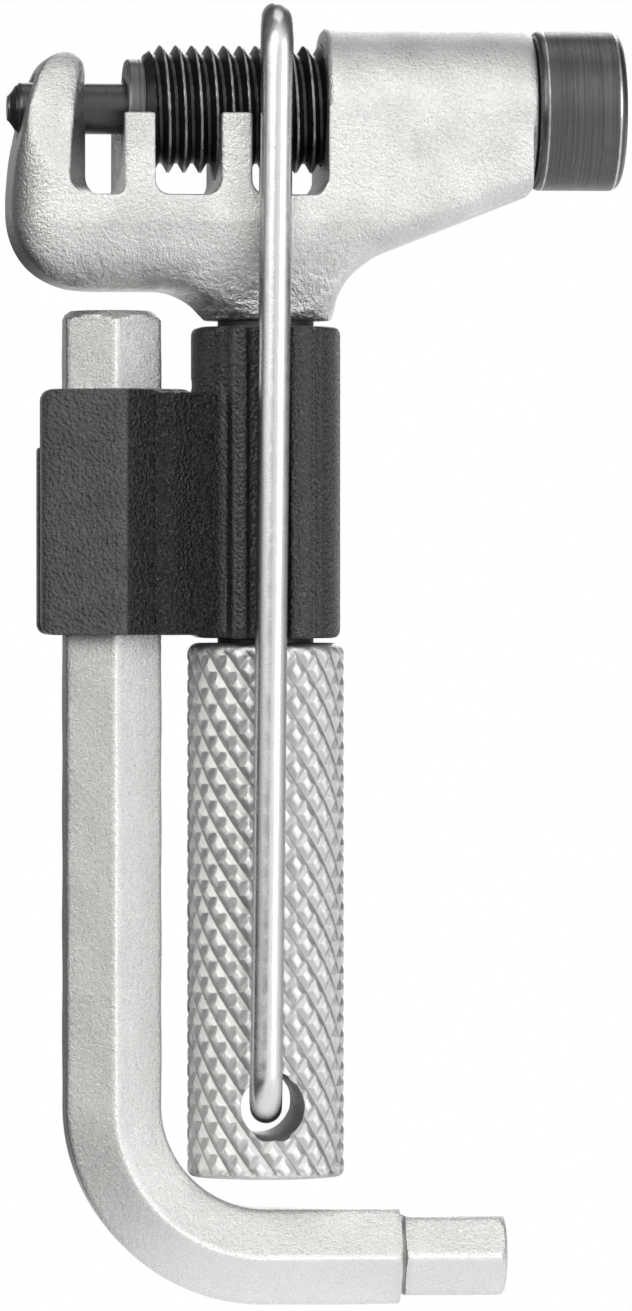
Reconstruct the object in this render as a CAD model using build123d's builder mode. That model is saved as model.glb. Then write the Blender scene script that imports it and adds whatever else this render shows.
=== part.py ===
from build123d import *
import math
import os

# Bicycle chain tool, in millimetres.
# +X runs along the drive screw towards its knob, +Z from the handle up to the head, and the
# front is -Y. The origin is on the screw axis, in the middle of the outer pair of chain teeth.
# In names, R is a radius, X0/X1 and Z0/Z1 are lower and upper ends, AF is across flats.

os.makedirs("parts", exist_ok=True)

TAN30 = math.tan(math.radians(30))
COS30 = math.cos(math.radians(30))
THROUGH_Y = 8.0        # half depth of cuts and trims that pass right through a piece

# drive thread, M8 x 1, right hand
PITCH = 1.0
CREST_R = 4.0          # outside radius of the screw
ROOT_R = 3.39          # root radius of the screw
CREST_W = 0.125        # crest flat
FLANK_CLEAR = 0.08     # gap between the mating flanks
MINOR_R = 3.50         # minor radius of the tapped barrel
MAJOR_R = 4.08         # major radius of the tapped barrel
THREAD_PHASE = 0.68    # a crest passes the top of the screw at this X (mod pitch)
RIDGE_SINK = 0.06      # depth of the screw ridge below the root, so that it fuses
GROOVE_SINK = 0.08     # depth of the barrel groove inside the minor radius

# sizes shared between pieces
NOSE_X = 0.6                 # nose of the screw, where the retainer's flange bears
PIN_R = 1.6
NOSE_BORE_R = 2.5
AXIS_X = 8.3                 # axis of the handle, stud and bracket sleeve
STUD_R, STUD_Z0, STUD_Z1 = 3.0, -43.0, -7.2
STUD_HOLE_R = STUD_R + 0.01
CROSS_Z = -62.1              # cross hole of the handle, and feet of the hook
KEY_X = -1.35                # axis of the long arm of the hex key


def front_plane(x, z=0):
    """A plane facing the front, its local axes along X and Z."""
    return Plane(origin=(x, 0, z), x_dir=(1, 0, 0), z_dir=(0, -1, 0))


def ridge(start_x, turns, r_in, r_out, crest_width):
    """A right-hand helical ridge about X, with 30 degree flanks.

    crest_width is its width at the radius CREST_R.
    """
    half_in, half_out = (crest_width / 2 + (CREST_R - r) * TAN30 for r in (r_in, r_out))
    rails = [
        Helix(pitch=PITCH, height=turns * PITCH, radius=r, center=(start_x + dx, 0, 0),
              direction=(1, 0, 0)).edge()
        for r, dx in ((r_in, -half_in), (r_out, -half_out), (r_out, half_out), (r_in, half_in))
    ]
    faces = [Face.make_surface_from_curves(rails[i], rails[(i + 1) % 4]) for i in range(4)]
    for t in (0, 1):
        corners = [rail @ t for rail in rails]
        sides = [Edge.make_line(corners[i], corners[(i + 1) % 4]) for i in range(4)]
        faces.append(Face(Wire(sides)))
    return Solid(Shell(faces))


# ---------------------------------------------------------------------------
# tool_body: the cast head
# ---------------------------------------------------------------------------
HALF_D = 5.1           # half depth of the head, and barrel radius
BARREL_X0, BARREL_X1 = 11.73, 24.95
BARREL_CHAMFER = 0.3
BARREL_END_X = BARREL_X1 - 0.35   # end of the casting under the barrel
BOTTOM_Z = -11.38
SLOT_FLOOR, SLOT_TOP = -5.25, 8.0
TOOTH_TOP = -0.17
TOWER_X = -3.14        # inner face of the outer tower
TEETH = [(-0.96, 0.96), (5.05, 6.99)]
# chain slots: start X, end X, corner radius
SLOTS = [
    (TOWER_X, TEETH[0][0], 0.5),
    (TEETH[0][1], TEETH[1][0], 0.9),
    (TEETH[1][1], BARREL_X0, 0.9),
]
TROUGH_R = 4.2
PIN_HOLE_R = 2.0
EDGE_R = 2.6           # rounding of the lower and outer edges of the casting
GUSSET_R = 1.5
TRIM_X0, TRIM_X1 = -7.85, 34.0
TRIM_TOP = 12.0

# outline of the head from the front: X, Z
TOWER_OUTER = [
    (-4.05, 3.58), (-4.95, 3.36), (-5.78, 2.80), (-6.36, 1.69), (-6.90, -0.04),
    (-7.30, -1.9), (-7.62, -3.4), (-7.82, -5.2), (-7.84, -6.3),
]
TOWER_FOOT_MID = (-6.40, -9.95)
TOWER_FOOT_END = (-2.90, BOTTOM_Z)
GUSSET_CURVE = [(12.71, BOTTOM_Z), (13.15, -10.63), (13.97, -9.88), (15.16, -9.13)]
GUSSET_END = (24.25, -5.55)
TOWER_TIP = [(TOWER_X, 1.9), (-3.26, 3.05), (-3.55, 3.46), TOWER_OUTER[0]]
# front half of the cut that slopes the tower's inner face: X, distance from the middle plane
TOWER_SLOPE = [
    (TOWER_X + 0.3, 1.9), (TOWER_X, 1.9), (-4.38, 5.1), (-4.6, 5.7), (TOWER_X + 0.3, 5.7),
]

NECK_X, NECK_R, NECK_Z = 8.38, 4.07, -13.2
NECK_CHAMFER = 0.12
FLARE_TOP = -8.3
NECK_TRIM_Z0, NECK_TRIM_Z1, NECK_TRIM_X0 = -13.4, -8.0, -4.0
# flare of the neck: radius, Z
FLARE = [
    (NECK_R, NECK_Z + NECK_CHAMFER), (4.28, -12.86), (4.60, -12.48), (5.14, -12.07),
    (5.96, -11.62), (6.95, -11.30),
]
# neck from the side: Y, Z
NECK_SIDE = [
    (5.05, -8.6), (4.90, -9.9), (4.50, -11.3), (4.14, -12.4), (4.08, NECK_TRIM_Z0),
]
# neck from the front, on the barrel side: X, Z
NECK_FRONT = [(12.62, -11.5), (12.52, -12.13), (12.46, NECK_TRIM_Z0)]


def make_neck():
    """Neck with its flare, cut to the outline of the head from the side and the front."""
    with BuildPart() as neck:
        with BuildSketch(front_plane(NECK_X)):
            with BuildLine():
                Polyline((0, NECK_Z), (NECK_R - NECK_CHAMFER, NECK_Z), FLARE[0])
                Spline(*FLARE, tangents=((0.1, 1), (1, 0.42)))
                Polyline(FLARE[-1], (FLARE[-1][0], FLARE_TOP), (0, FLARE_TOP), (0, NECK_Z))
            make_face()
        revolve(axis=Axis((NECK_X, 0, 0), (0, 0, 1)))
        top_y, bottom_y = NECK_SIDE[0][0], NECK_SIDE[-1][0]
        mirrored_side = [(-y, z) for y, z in reversed(NECK_SIDE)]
        with BuildSketch(Plane.YZ.offset(-2)):
            with BuildLine():
                Polyline(mirrored_side[-1], (-top_y, NECK_TRIM_Z1), (top_y, NECK_TRIM_Z1),
                         NECK_SIDE[0])
                Spline(*NECK_SIDE, tangents=((0, -1), (0, -1)))
                Line((bottom_y, NECK_TRIM_Z0), (-bottom_y, NECK_TRIM_Z0))
                Spline(*mirrored_side, tangents=((0, 1), (0, 1)))
            make_face()
        extrude(amount=30, mode=Mode.INTERSECT)
        with BuildSketch(Plane.XZ):
            with BuildLine():
                Spline(*NECK_FRONT, tangents=((-0.1, -1), (0, -1)))
                Polyline(NECK_FRONT[-1], (NECK_TRIM_X0, NECK_TRIM_Z0),
                         (NECK_TRIM_X0, NECK_TRIM_Z1), (NECK_FRONT[0][0], NECK_TRIM_Z1),
                         NECK_FRONT[0])
            make_face()
        extrude(amount=THROUGH_Y, both=True, mode=Mode.INTERSECT)
    return neck.part


def make_tool_body():
    neck = make_neck()
    # the groove is the screw's ridge grown by the flank clearance
    barrel_groove = ridge(THREAD_PHASE + 9, 18, MINOR_R - GROOVE_SINK, MAJOR_R,
                          CREST_W + 2 * FLANK_CLEAR / COS30)
    with BuildPart() as body:
        with BuildSketch(Plane.XZ):
            with BuildLine():
                Spline(*TOWER_OUTER, tangents=((-1, 0), (0, -1)))
                ThreePointArc(TOWER_OUTER[-1], TOWER_FOOT_MID, TOWER_FOOT_END)
                Line(TOWER_FOOT_END, GUSSET_CURVE[0])
                Spline(*GUSSET_CURVE, tangents=((0.30, 0.95), (0.93, 0.367)))
                Polyline(GUSSET_CURVE[-1], GUSSET_END, (BARREL_END_X, -5.0),
                         (BARREL_END_X, 0), (BARREL_X0, 0), (BARREL_X0, TOOTH_TOP),
                         (TOWER_X, TOOTH_TOP), TOWER_TIP[0])
                Spline(*TOWER_TIP, tangents=((0, 1), (-1, 0)))
            make_face()
        extrude(amount=HALF_D, both=True)
        # rounded lower edges of the gusset under the barrel
        fillet([e for e in body.edges()
                if abs(abs(e.center().Y) - HALF_D) < 1e-6
                and e.center().X > 14 and -9 < e.center().Z < -6],
               GUSSET_R)
        # rounded lower edges of the casting
        with BuildSketch(Plane.YZ.offset(-12)):
            with Locations((0, (BOTTOM_Z + TRIM_TOP) / 2)):
                RectangleRounded(2 * HALF_D, TRIM_TOP - BOTTOM_Z, EDGE_R)
        extrude(amount=50, mode=Mode.INTERSECT)
        # rounded upright edges at the tower end
        with BuildSketch(Plane.XY.offset(-14)):
            with Locations(((TRIM_X0 + TRIM_X1) / 2, 0)):
                RectangleRounded(TRIM_X1 - TRIM_X0, 2 * HALF_D, EDGE_R)
        extrude(amount=30, mode=Mode.INTERSECT)
        add(neck)
        # barrel
        with BuildSketch(Plane.XZ):
            with BuildLine():
                Polyline((BARREL_X0, 0), (BARREL_X0, HALF_D - BARREL_CHAMFER),
                         (BARREL_X0 + BARREL_CHAMFER, HALF_D), (BARREL_X1 - 0.45, HALF_D),
                         (BARREL_X1 - 0.13, HALF_D - 0.13), (BARREL_X1, HALF_D - 0.45),
                         (BARREL_X1, 0), close=True)
            make_face()
        revolve(axis=Axis.X)
        # thread groove of the barrel, cut before its bore
        add(barrel_groove, mode=Mode.SUBTRACT)
        # chain slots
        with BuildSketch(Plane.XZ):
            for x0, x1, corner_r in SLOTS:
                with Locations(((x0 + x1) / 2, (SLOT_FLOOR + SLOT_TOP) / 2)):
                    RectangleRounded(x1 - x0, SLOT_TOP - SLOT_FLOOR, corner_r)
        extrude(amount=THROUGH_Y, both=True, mode=Mode.SUBTRACT)
        # trough along the screw axis, which splits each tooth into a front and a rear one
        with BuildSketch(Plane.YZ.offset(TOWER_X)):
            Circle(TROUGH_R)
        extrude(amount=BARREL_X0 - TOWER_X, mode=Mode.SUBTRACT)
        # the tower's inner face falls back towards its front and rear edges
        with BuildSketch(Plane.XY.offset(SLOT_FLOOR + 0.45)):
            for side in (1, -1):
                with BuildLine():
                    Polyline(*[(x, side * y) for x, y in TOWER_SLOPE], close=True)
                make_face()
        extrude(amount=12, mode=Mode.SUBTRACT)
        # pin hole in the tower
        with BuildSketch(Plane.YZ.offset(-9)):
            Circle(PIN_HOLE_R)
        extrude(amount=7, mode=Mode.SUBTRACT)
        # bore of the tapped barrel
        with BuildSketch(Plane.YZ.offset(BARREL_X0 - 0.5)):
            Circle(MINOR_R)
        extrude(amount=BARREL_X1 - BARREL_X0 + 1, mode=Mode.SUBTRACT)
        # hole up the neck for the stud
        with BuildSketch(Plane.XY.offset(NECK_Z - 0.5)):
            with Locations((AXIS_X, 0)):
                Circle(STUD_HOLE_R)
        extrude(amount=STUD_Z1 + 0.2 - NECK_Z + 0.5, mode=Mode.SUBTRACT)
    return body.part


# ---------------------------------------------------------------------------
# drive_screw: M8 x 1 screw, turned in one piece with its knob
# ---------------------------------------------------------------------------
KNOB_X0, KNOB_X1, KNOB_R = 25.0, 30.55, 5.0
SOCKET_AF, SOCKET_DEPTH = 5.0, 4.5
SOCKET_MOUTH = 0.55    # depth of the countersink round the socket
NOSE_BORE_END = 5.25
NOSE_CHAMFER = 0.12
LEAD_IN_X0 = NOSE_X - 1.6
LEAD_IN_R = 2.8        # inner radius of the lead-in cut


def make_drive_screw():
    thread = ridge(THREAD_PHASE, 23, ROOT_R - RIDGE_SINK, CREST_R, CREST_W)
    with BuildPart() as screw:
        with BuildSketch(Plane.XZ):
            with BuildLine():
                Polyline((NOSE_X, NOSE_BORE_R), (NOSE_X, ROOT_R - NOSE_CHAMFER),
                         (NOSE_X + NOSE_CHAMFER, ROOT_R), (KNOB_X0, ROOT_R),
                         (KNOB_X0, KNOB_R - 0.5), (KNOB_X0 + 0.15, KNOB_R - 0.15),
                         (KNOB_X0 + 0.5, KNOB_R), (KNOB_X1 - 0.7, KNOB_R),
                         (KNOB_X1 - 0.2, KNOB_R - 0.2), (KNOB_X1, KNOB_R - 0.7),
                         (KNOB_X1, 0), (NOSE_BORE_END, 0), (NOSE_BORE_END, NOSE_BORE_R),
                         close=True)
            make_face()
        revolve(axis=Axis.X)
        add(thread)
        # lead-in chamfer of the thread
        with BuildSketch(Plane.XZ):
            with BuildLine():
                Polyline((LEAD_IN_X0, LEAD_IN_R), (NOSE_X, LEAD_IN_R),
                         (NOSE_X, ROOT_R - NOSE_CHAMFER), (NOSE_X + NOSE_CHAMFER, ROOT_R),
                         (NOSE_X + 1.0, CREST_R + 0.1), (LEAD_IN_X0, CREST_R + 0.1),
                         close=True)
            make_face()
        revolve(axis=Axis.X, mode=Mode.SUBTRACT)
        # hexagon socket and its countersunk mouth
        with BuildSketch(Plane.YZ.offset(KNOB_X1 - SOCKET_DEPTH)):
            RegularPolygon(SOCKET_AF / 2, 6, major_radius=False)
        extrude(amount=SOCKET_DEPTH + 1, mode=Mode.SUBTRACT)
        with BuildSketch(Plane.XZ):
            with BuildLine():
                Polyline((KNOB_X1 + 0.01, 0), (KNOB_X1 + 0.01, 3.1),
                         (KNOB_X1 - SOCKET_MOUTH, SOCKET_AF / 2),
                         (KNOB_X1 - SOCKET_MOUTH, 0), close=True)
            make_face()
        revolve(axis=Axis.X, mode=Mode.SUBTRACT)
    return screw.part


# ---------------------------------------------------------------------------
# drive_pin
# ---------------------------------------------------------------------------
PIN_TIP_X, PIN_TIP_R = -7.89, 0.8
PIN_HEAD_X0, PIN_HEAD_X1, PIN_HEAD_R = 4.0, 5.2, 2.3
PIN_HEAD_CHAMFER = 0.2


def make_drive_pin():
    with BuildPart() as pin:
        with BuildSketch(Plane.XZ):
            with BuildLine():
                Polyline((PIN_TIP_X, 0), (PIN_TIP_X, PIN_TIP_R - 0.1),
                         (PIN_TIP_X + 0.08, PIN_TIP_R), (-7.45, 1.35), (-7.18, PIN_R),
                         (PIN_HEAD_X0, PIN_R), (PIN_HEAD_X0, PIN_HEAD_R),
                         (PIN_HEAD_X1 - PIN_HEAD_CHAMFER, PIN_HEAD_R),
                         (PIN_HEAD_X1, PIN_HEAD_R - PIN_HEAD_CHAMFER), (PIN_HEAD_X1, 0),
                         close=True)
            make_face()
        revolve(axis=Axis.X)
    return pin.part


# ---------------------------------------------------------------------------
# pin_retainer: pressed into the nose of the screw
# ---------------------------------------------------------------------------
FLANGE_X0, FLANGE_R = -0.55, 3.1
SPIGOT_END, SPIGOT_R = 3.95, NOSE_BORE_R - 0.01
RETAINER_BORE_R = PIN_R + 0.05
RETAINER_CHAMFER = 0.2


def make_pin_retainer():
    with BuildPart() as retainer:
        with BuildSketch(Plane.XZ):
            with BuildLine():
                Polyline((FLANGE_X0, RETAINER_BORE_R + RETAINER_CHAMFER),
                         (FLANGE_X0, FLANGE_R - 0.25), (FLANGE_X0 + 0.07, FLANGE_R - 0.07),
                         (FLANGE_X0 + 0.25, FLANGE_R), (NOSE_X, FLANGE_R),
                         (NOSE_X, SPIGOT_R), (SPIGOT_END - 0.2, SPIGOT_R),
                         (SPIGOT_END, NOSE_BORE_R - 0.2), (SPIGOT_END, RETAINER_BORE_R),
                         (FLANGE_X0 + RETAINER_CHAMFER, RETAINER_BORE_R), close=True)
            make_face()
        revolve(axis=Axis.X)
    return retainer.part


# ---------------------------------------------------------------------------
# handle_stud: joins the head and the handle through the bracket's sleeve
# ---------------------------------------------------------------------------
STUD_CHAMFER = 0.5


def make_handle_stud():
    with BuildPart() as stud:
        with BuildSketch(Plane.XY.offset(STUD_Z0)):
            with Locations((AXIS_X, 0)):
                Circle(STUD_R)
        extrude(amount=STUD_Z1 - STUD_Z0)
        chamfer(stud.edges().filter_by(GeomType.CIRCLE), STUD_CHAMFER)
    return stud.part


# ---------------------------------------------------------------------------
# grip_handle
# ---------------------------------------------------------------------------
HANDLE_R, HANDLE_Z0, HANDLE_Z1 = 4.9, -66.6, -33.3
HANDLE_TOP_FILLET, HANDLE_END_FILLET = 0.7, 0.4
CROSS_R = 2.0


def make_grip_handle():
    with BuildPart() as handle:
        with BuildSketch(Plane.XY.offset(HANDLE_Z0)):
            with Locations((AXIS_X, 0)):
                Circle(HANDLE_R)
        extrude(amount=HANDLE_Z1 - HANDLE_Z0)
        fillet(handle.edges().group_by(Axis.Z)[-1], HANDLE_TOP_FILLET)
        fillet(handle.edges().filter_by(GeomType.CIRCLE).group_by(Axis.Z)[0],
               HANDLE_END_FILLET)
        # blind hole for the stud
        with BuildSketch(Plane.XY.offset(STUD_Z0 - 0.4)):
            with Locations((AXIS_X, 0)):
                Circle(STUD_HOLE_R)
        extrude(amount=20, mode=Mode.SUBTRACT)
        # cross hole for the hook
        with BuildSketch(front_plane(AXIS_X, CROSS_Z)):
            Circle(CROSS_R)
        extrude(amount=THROUGH_Y, both=True, mode=Mode.SUBTRACT)
    return handle.part


# ---------------------------------------------------------------------------
# key_bracket: sleeve on the stud, clip round the hex key
# ---------------------------------------------------------------------------
SLEEVE_R, SLEEVE_BORE_R = 4.67, 3.05
SLEEVE_Z0, SLEEVE_Z1 = -33.0, -13.6
SLEEVE_LENGTH = SLEEVE_Z1 - SLEEVE_Z0
BOSS_X0, BOSS_X1, BOSS_Y = 5.6, 10.95, 5.15
GROOVE_W, GROOVE_Y = 2.2, 4.7
CLIP_FRONT_Z, CLIP_REAR_Z, CLIP_Z0 = -17.5, -21.1, -32.8
CLIP_AF, CLIP_WALL_AF = 6.1, 9.1            # inside and outside of the clip
CLIP_X0 = KEY_X - CLIP_WALL_AF / 2
CLIP_SIDE_CORNER_Y = CLIP_WALL_AF / 4 / COS30
CLIP_OUTLINE_X1 = 9.0
WEB_TOP = -17.7
SLIT_X, SLIT_LENGTH, SLIT_W = -5.2, 3.0, 0.9
# rear half of the web between sleeve and clip: X, distance from the middle plane
WEB_SIDE = [(1.0, 4.3), (2.2, 4.2), (3.4, 3.15), (4.6, 3.0), (5.4, 3.9), (6.4, 4.2)]
# cut above the rear half of the clip: X, Z
REAR_RELIEF = [(-8, CLIP_REAR_Z), (2.6, CLIP_REAR_Z), (3.9, -17.0), (-8, -17.0)]
CUT_LENGTH = 24.0                           # reaches past the top of the bracket


def make_key_bracket():
    cut_plane = Plane.XY.offset(SLEEVE_Z0 - 1)
    with BuildPart() as bracket:
        # sleeve
        with BuildSketch(Plane.XY.offset(SLEEVE_Z0)):
            with Locations((AXIS_X, 0)):
                Circle(SLEEVE_R)
        extrude(amount=SLEEVE_LENGTH)
        # raised front and rear bosses
        with BuildSketch(Plane.XY.offset(SLEEVE_Z0)):
            with Locations(((BOSS_X0 + BOSS_X1) / 2, 0)):
                RectangleRounded(BOSS_X1 - BOSS_X0, 2 * BOSS_Y, 0.8)
        extrude(amount=SLEEVE_LENGTH)
        # web between sleeve and clip, hollowed front and rear
        with BuildSketch(Plane.XY.offset(CLIP_Z0)):
            with BuildLine():
                Polyline(*[(x, -y) for x, y in WEB_SIDE], *reversed(WEB_SIDE), close=True)
            make_face()
        extrude(amount=WEB_TOP - CLIP_Z0)
        # clip: front half, then rear half, which is lower at its top
        for top_z, removed_y in ((CLIP_FRONT_Z, 6), (CLIP_REAR_Z, -6)):
            with BuildSketch(Plane.XY.offset(CLIP_Z0)):
                with Locations((KEY_X, 0)):
                    RegularPolygon(CLIP_WALL_AF / 2, 6, major_radius=False, rotation=30)
                fillet([v for v in vertices() if abs(v.Y) > 5], 1.1)
                fillet([v for v in vertices() if abs(abs(v.Y) - CLIP_SIDE_CORNER_Y) < 0.1], 0.9)
                with Locations((KEY_X, removed_y)):
                    Rectangle(14, 12, mode=Mode.SUBTRACT)
            extrude(amount=top_z - CLIP_Z0)
        # relief of the rear web above the rear half of the clip
        with BuildSketch(Plane.XZ):
            with BuildLine():
                Polyline(*REAR_RELIEF, close=True)
            make_face()
        extrude(amount=-THROUGH_Y, mode=Mode.SUBTRACT)
        # rounded outline seen from the front
        with BuildSketch(Plane.XZ):
            with Locations(((CLIP_X0 + CLIP_OUTLINE_X1) / 2, (CLIP_Z0 + CLIP_FRONT_Z) / 2)):
                RectangleRounded(CLIP_OUTLINE_X1 - CLIP_X0, CLIP_FRONT_Z - CLIP_Z0, 0.7)
            with Locations((AXIS_X, (SLEEVE_Z0 + SLEEVE_Z1) / 2)):
                RectangleRounded(2 * SLEEVE_R, SLEEVE_LENGTH, 0.6)
            fillet([v for v in vertices() if abs(v.X - (AXIS_X - SLEEVE_R)) < 0.01
                    and abs(v.Y - CLIP_FRONT_Z) < 0.01], 0.6)
        extrude(amount=THROUGH_Y, both=True, mode=Mode.INTERSECT)
        # hexagonal key hole
        with BuildSketch(cut_plane):
            with Locations((KEY_X, 0)):
                RegularPolygon(CLIP_AF / 2, 6, major_radius=False, rotation=30)
        extrude(amount=CUT_LENGTH, mode=Mode.SUBTRACT)
        # spring slit down the outer side of the clip
        with BuildSketch(cut_plane):
            with Locations((SLIT_X, 0)):
                Rectangle(SLIT_LENGTH, SLIT_W)
        extrude(amount=CUT_LENGTH, mode=Mode.SUBTRACT)
        # grooves behind the legs of the hook, offset to either side to suit its twist
        with BuildSketch(cut_plane):
            for side in (1, -1):
                with Locations((AXIS_X + 0.05 + side * 0.35, side * (GROOVE_Y + 1))):
                    Rectangle(GROOVE_W + 0.4, 2)
        extrude(amount=CUT_LENGTH, mode=Mode.SUBTRACT)
        # bore for the stud
        with BuildSketch(cut_plane):
            with Locations((AXIS_X, 0)):
                Circle(SLEEVE_BORE_R)
        extrude(amount=CUT_LENGTH, mode=Mode.SUBTRACT)
    return bracket.part


# ---------------------------------------------------------------------------
# hex_key: 6 mm L-shaped key, stepped down to 5 mm at the end of its short arm
# ---------------------------------------------------------------------------
KEY_AF, KEY_TIP_AF = 6.0, 5.0
KEY_TOP_Z, KEY_SHORT_Z = -12.6, -71.6       # top of the long arm, axis of the short arm
KEY_BEND_R = 9.5
STEP_X, KEY_END_X = 16.6, 23.27
STEP_NECK_R, STEP_NECK_LENGTH = 2.45, 0.3
# turned top of the long arm: radius, height from its end
TOP_CUT = [(2.6, 0.01), (3.48, -0.65), (4.5, -0.65), (4.5, 0.01)]
# turned end and step of the short arm: X from the end or the step, radius
END_CUT = [(0.01, 2.3), (-0.45, 2.9), (-0.45, 4), (0.01, 4)]
STEP_CUT = [(0.01, 3.15), (-0.25, 3.48), (-0.25, 4), (0.01, 4)]


def make_hex_key():
    bend_x, bend_z = KEY_X + KEY_BEND_R, KEY_SHORT_Z + KEY_BEND_R
    with BuildPart() as key:
        with BuildLine(Plane.XZ) as path:
            Line((KEY_X, KEY_TOP_Z), (KEY_X, bend_z))
            CenterArc((bend_x, bend_z), KEY_BEND_R, 180, 90)
            Line((bend_x, KEY_SHORT_Z), (STEP_X, KEY_SHORT_Z))
        with BuildSketch(Plane(origin=(KEY_X, 0, KEY_TOP_Z), x_dir=(1, 0, 0),
                               z_dir=(0, 0, -1))):
            RegularPolygon(KEY_AF / 2, 6, major_radius=False, rotation=30)
        sweep(path=path.wire())
        # round neck, overlapping the 5 mm end a little
        with BuildSketch(Plane.YZ.offset(STEP_X)):
            with Locations((0, KEY_SHORT_Z)):
                Circle(STEP_NECK_R)
        extrude(amount=STEP_NECK_LENGTH + 0.05)
        with BuildSketch(Plane.YZ.offset(STEP_X + STEP_NECK_LENGTH)):
            with Locations((0, KEY_SHORT_Z)):
                RegularPolygon(KEY_TIP_AF / 2, 6, major_radius=False)
        extrude(amount=KEY_END_X - STEP_X - STEP_NECK_LENGTH)
        # turned ends
        with BuildSketch(front_plane(KEY_X)):
            with BuildLine():
                Polyline(*[(r, KEY_TOP_Z + z) for r, z in TOP_CUT], close=True)
            make_face()
        revolve(axis=Axis((KEY_X, 0, 0), (0, 0, 1)), mode=Mode.SUBTRACT)
        with BuildSketch(Plane.XZ):
            for end_x, cut in ((KEY_END_X, END_CUT), (STEP_X, STEP_CUT)):
                with BuildLine():
                    Polyline(*[(end_x + x, KEY_SHORT_Z + r) for x, r in cut], close=True)
                make_face()
        revolve(axis=Axis((0, 0, KEY_SHORT_Z), (1, 0, 0)), mode=Mode.SUBTRACT)
    return key.part


# ---------------------------------------------------------------------------
# chain_hook: sprung wire bail, its bent feet in the handle's cross hole
# ---------------------------------------------------------------------------
WIRE_R = 1.0
LEG_Y = 6.3
CROWN_Z = 5.54
CROWN_CORNER, FOOT_BEND = 2.5, 2.0          # bend radii of the wire's centre line
FOOT_END_Y = 2.0
TWIST, LEAN = 5.5, 0.62                     # degrees about Z and about Y
SWING_CLEAR_R = 66.88                       # inside of the crown, measured from the pivot
SWING_CLEAR_Y = 3.5                         # half width of the relief


def make_chain_hook():
    hook_frame = (Location((AXIS_X, 0, CROSS_Z)) * Location((0, 0, 0), (0, LEAN, 0))
                  * Location((0, 0, 0), (0, 0, -TWIST)))
    top = CROWN_Z - CROSS_Z
    foot_y = LEG_Y - FOOT_BEND
    crown_y, corner_z = LEG_Y - CROWN_CORNER, top - CROWN_CORNER
    with BuildPart() as hook:
        with BuildLine(Plane(hook_frame * Plane.YZ.location)) as path:
            Line((-FOOT_END_Y, 0), (-foot_y, 0))
            CenterArc((-foot_y, FOOT_BEND), FOOT_BEND, 270, -90)
            Line((-LEG_Y, FOOT_BEND), (-LEG_Y, corner_z))
            CenterArc((-crown_y, corner_z), CROWN_CORNER, 180, -90)
            Line((-crown_y, top), (crown_y, top))
            CenterArc((crown_y, corner_z), CROWN_CORNER, 90, -90)
            Line((LEG_Y, corner_z), (LEG_Y, FOOT_BEND))
            CenterArc((foot_y, FOOT_BEND), FOOT_BEND, 0, -90)
            Line((foot_y, 0), (FOOT_END_Y, 0))
        with BuildSketch(Plane(origin=path.wire() @ 0, z_dir=path.wire() % 0)):
            Circle(WIRE_R)
        sweep(path=path.wire())
        # inside of the crown relieved to swing clear of the tower
        with BuildSketch(front_plane(AXIS_X, CROSS_Z)):
            Circle(SWING_CLEAR_R)
            Circle(SWING_CLEAR_R - 3, mode=Mode.SUBTRACT)
        extrude(amount=SWING_CLEAR_Y, both=True, mode=Mode.SUBTRACT)
    return hook.part


PIECES = {
    "tool_body": make_tool_body,
    "drive_screw": make_drive_screw,
    "drive_pin": make_drive_pin,
    "pin_retainer": make_pin_retainer,
    "handle_stud": make_handle_stud,
    "grip_handle": make_grip_handle,
    "key_bracket": make_key_bracket,
    "hex_key": make_hex_key,
    "chain_hook": make_chain_hook,
}
for name, make_piece in PIECES.items():
    piece = make_piece()
    piece.label = name
    export_step(piece, f"parts/{name}.step")
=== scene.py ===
# A bicycle chain tool with a knurled handle, a stowed hex key and a swinging wire hook.
#
# The drive screw and its pin lie along X on the origin axis, with the knob at +X and the tower
# of the cast head at -X. The handle hangs down -Z, the hex key runs beside it at -X, and the
# hook pivots in the handle's cross hole. The camera looks along +Y, so -Y is the front.
# Shapes are given in millimetres and written to the meshes in metres.

import bpy
import bmesh
import math
import numpy as np
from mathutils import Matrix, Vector


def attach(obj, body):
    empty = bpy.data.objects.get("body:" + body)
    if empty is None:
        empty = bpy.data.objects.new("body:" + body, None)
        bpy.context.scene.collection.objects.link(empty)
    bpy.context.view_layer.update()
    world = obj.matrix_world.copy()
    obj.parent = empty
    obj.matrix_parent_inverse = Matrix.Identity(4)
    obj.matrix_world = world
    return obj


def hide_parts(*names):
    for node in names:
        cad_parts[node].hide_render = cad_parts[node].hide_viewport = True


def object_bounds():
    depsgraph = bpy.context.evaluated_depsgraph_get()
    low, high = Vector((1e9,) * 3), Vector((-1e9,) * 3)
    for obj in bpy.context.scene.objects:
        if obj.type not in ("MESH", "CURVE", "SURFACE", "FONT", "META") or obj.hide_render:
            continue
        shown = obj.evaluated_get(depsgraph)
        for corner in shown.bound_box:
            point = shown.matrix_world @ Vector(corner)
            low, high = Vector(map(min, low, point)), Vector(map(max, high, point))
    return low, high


MM = 0.001
HANDLE_X = 8.3          # axis of the handle and middle of the hook
KEY_X = -1.35           # axis of the hex key's long arm
HOOK_PIVOT_Z = -62.1    # cross hole through the handle

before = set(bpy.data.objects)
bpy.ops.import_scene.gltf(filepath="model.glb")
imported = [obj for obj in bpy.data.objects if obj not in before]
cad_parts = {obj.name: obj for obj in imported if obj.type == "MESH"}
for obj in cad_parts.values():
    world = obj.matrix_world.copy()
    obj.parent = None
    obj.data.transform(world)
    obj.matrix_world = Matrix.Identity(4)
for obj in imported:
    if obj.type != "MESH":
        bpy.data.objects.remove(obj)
cad_lo, cad_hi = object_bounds()
cad_lo, cad_hi = Vector(cad_lo), Vector(cad_hi)
scene = bpy.context.scene


# ------------------------------------------------------------------ meshes

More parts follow.
